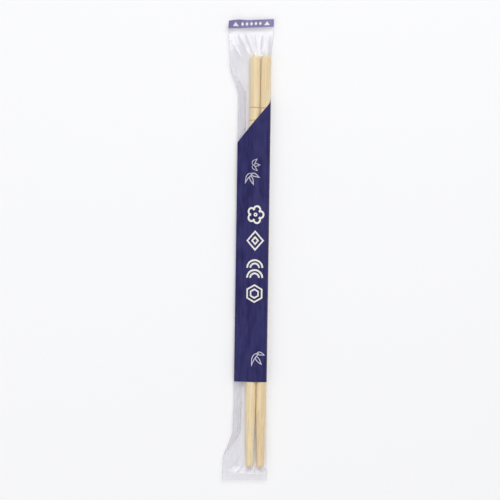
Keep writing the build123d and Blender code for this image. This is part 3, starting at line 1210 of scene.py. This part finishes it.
shape_x = 3.4
shape_line = 0.85
diamond_line = shape_line * 1.15
motif_places, motif_faces = [], []
shapes = [
    # y, stretch along the sleeve, and what arcs is asked for
    (17.2, 1.08, (5, 1.55, 2.35, -118, 236, shape_line, 20)),
    (17.2, 1.00, (1, 0.62, 0, 0, 360, shape_line * 0.75, 20)),
    (4.6, 1.15, (1, 3.85, 0, 0, 360, diamond_line, 4, 3)),
    (4.6, 1.15, (1, 1.45, 0, 0, 360, diamond_line, 4, 3)),
    (-8.6, 1.0, (1, 3.7, 0, 0, 180, shape_line, 28)),
    (-8.6, 1.0, (1, 2.1, 0, 0, 180, shape_line, 20)),
    (-13.4, 1.0, (1, 3.7, 0, 0, 180, shape_line, 28)),
    (-13.4, 1.0, (1, 2.1, 0, 0, 180, shape_line, 20)),
    (-21.1, 1.0, (1, 4.1, 0, 90, 360, shape_line, 6, 3)),
    (-21.1, 1.0, (1, 2.1, 0, 90, 360, shape_line, 6, 2)),
]
for y, stretch, asked in shapes:
    place_flat(arcs(*asked), shape_x, y, motif_places, motif_faces, stretch)
motifs = laid_print("motif_print", motif_places, motif_faces, white_low, white_high, white_ink)

# %% [markdown]
# ### Marks on the strip
#
# A small white triangle near each side of the strip points to the end of the sleeve, with a row of small
# diamonds between them. A triangle is a ring of three steps and a diamond a ring of four, whose line is
# twice as wide as the radius and so fills it. A tree of its own repeats one shape along a row.

# %% The tree that repeats a shape along a row
def shape_row_tree():
    tree, given = new_tree("row of one shape", ["Count"], ["Spacing"])
    steps = calc(tree, "SUBTRACT", given["Count"], 1.0)
    first = calc(tree, "MULTIPLY", steps, calc(tree, "MULTIPLY", given["Spacing"], -0.5))
    start = step(tree, "ShaderNodeCombineXYZ", {"X": first})
    stride = step(tree, "ShaderNodeCombineXYZ", {"X": given["Spacing"]})
    sockets = {"Count": given["Count"], "Start Location": start, "Offset": stride}
    row = step(tree, "GeometryNodeMeshLine", sockets)
    sockets = {"Points": row, "Instance": given["Geometry"]}
    return finish_tree(tree, given, step(tree, "GeometryNodeInstanceOnPoints", sockets))


# %% Draw and lay the marks
mark_places, mark_faces = [], []
mark_y = 109.95
triangle_xs, diamonds_x = (-7.55, 7.65), 0.1
triangle_radius, triangle_drop, triangle_stretch = 0.8, 0.3, 0.78
diamond_radius, diamond_spacing, diamond_stretch = 0.36, 2.15, 1.35
for x in triangle_xs:
    triangle = arcs(1, triangle_radius, 0, 90, 360, 2 * triangle_radius, 3, 3)
    place_flat(triangle, x, mark_y - triangle_drop, mark_places, mark_faces, triangle_stretch)
diamond = arcs(1, diamond_radius, 0, 0, 360, 2 * diamond_radius, 4, 2)
values = {"Count": 5, "Spacing": diamond_spacing, "Material": white_ink}
diamonds = grown(shape_row_tree(), values, diamond)
place_flat(diamonds, diamonds_x, mark_y, mark_places, mark_faces, diamond_stretch)
marks = laid_print("strip_marks", mark_places, mark_faces, white_low, white_high, white_ink)

# %% [markdown]
# ## Floor, light and camera
#
# The sleeve lies on a plain pale floor under soft light: a broad lamp high above its upper end, a weaker
# one from the lower left, and an even pale sky. Floor and sky are paler where they are seen, straight on
# or mirrored in the film, than as light on the object, so the background is near white and the object
# keeps its shading. A long lens looks straight down, with the slight lean that the sticks have in the
# picture.

# %% The floor
def seen_directly(tree):
    """1 for a ray from the camera, from gloss or through glass, and 0 for one that lights something."""
    ray = tree.nodes.new("ShaderNodeLightPath").outputs
    direct = calc(tree, "MAXIMUM", ray["Is Camera Ray"], ray["Is Glossy Ray"])
    return calc(tree, "MAXIMUM", direct, ray["Is Transmission Ray"])


floor_half = 3.0
floor_glow = 0.05
floor_corners = [(x * floor_half, y * floor_half, 0) for x, y in ((-1, -1), (1, -1), (1, 1), (-1, 1))]
floor_mesh = bpy.data.meshes.new("floor")
floor_mesh.from_pydata(floor_corners, [], [[0, 1, 2, 3]])
floor_material, floor_tree, floor_output = new_material("pale_floor")
floor_sockets = {"Base Color": linear(246, 246, 247), "Roughness": 0.7, "Specular IOR Level": 0.2}
floor_shader = step(floor_tree, "ShaderNodeBsdfPrincipled", floor_sockets)
glow_strength = calc(floor_tree, "MULTIPLY", seen_directly(floor_tree), floor_glow)
glow = step(floor_tree, "ShaderNodeEmission", {"Color": (1, 1, 1, 1), "Strength": glow_strength})
floor_look = step(floor_tree, "ShaderNodeAddShader", {0: floor_shader, 1: glow})
floor_tree.links.new(floor_look, floor_output.inputs["Surface"])
floor = as_piece("floor", floor_mesh, floor_material)


# %% The lamps and the sky
def soft_lamp(name, place, width, height, watts):
    """A broad rectangular lamp that looks at the middle of the sleeve."""
    light = bpy.data.lights.new(name, "AREA")
    light.shape = "RECTANGLE"
    light.size, light.size_y = width, height
    light.energy = watts
    lamp = bpy.data.objects.new(name, light)
    lamp.location = place
    lamp.rotation_euler = (-Vector(place)).to_track_quat("-Z", "Y").to_euler()
    bpy.context.scene.collection.objects.link(lamp)


soft_lamp("key_lamp", (0.25, 0.85, 1.5), width=1.1, height=0.9, watts=14.7)
soft_lamp("fill_lamp", (-0.6, -0.5, 0.8), width=0.8, height=0.6, watts=1.6)
sky_as_light, more_where_seen = 0.53, 0.45
world = bpy.data.worlds.new("pale sky")
world.use_nodes = True
sky_tree = world.node_tree
sky = sky_tree.nodes["Background"]
sky.inputs["Color"].default_value = (0.95, 0.955, 0.97, 1)
sky_strength = calc(sky_tree, "MULTIPLY_ADD", seen_directly(sky_tree), more_where_seen, sky_as_light)
sky_tree.links.new(sky_strength, sky.inputs["Strength"])
bpy.context.scene.world = world

# %% The camera
lens, sensor = 170.0, 36.0
picture_height = 243.0 * MM
picture_middle_x = 1.0 * MM
lean_degrees = 0.85
layers_seen_through = 32
camera_data = bpy.data.cameras.new("camera")
camera_data.lens, camera_data.sensor_width = lens, sensor
camera = bpy.data.objects.new("camera", camera_data)
distance = picture_height * lens / sensor
camera.location = (picture_middle_x, 0, mid_height * MM + distance)
camera.rotation_euler = (0, 0, math.radians(lean_degrees))
bpy.context.scene.collection.objects.link(camera)
bpy.context.scene.camera = camera
bpy.context.scene.view_settings.view_transform = "Standard"
bpy.context.scene.cycles.transparent_max_bounces = layers_seen_through
print(f"camera {distance:.3f} m above the sleeve")

# %% [markdown]
# ## Join the pieces to the frame
#
# Every piece rides on the one body, and the imported solid that it stands for is hidden.

# %% Ride, and hide the imported solids
rows = [
    (sticks[0], "chopstick_left", "bamboo"),
    (sticks[1], "chopstick_right", "bamboo"),
    (sleeve, "film_sleeve", "clear_film"),
    (band, "printed_band", "navy_ink"),
    (strip, "printed_strip", "violet_ink"),
]
for piece, node, slot in rows:
    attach(piece, "root")
    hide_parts(node)
for piece in (leaves, motifs, marks):
    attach(piece, "root")
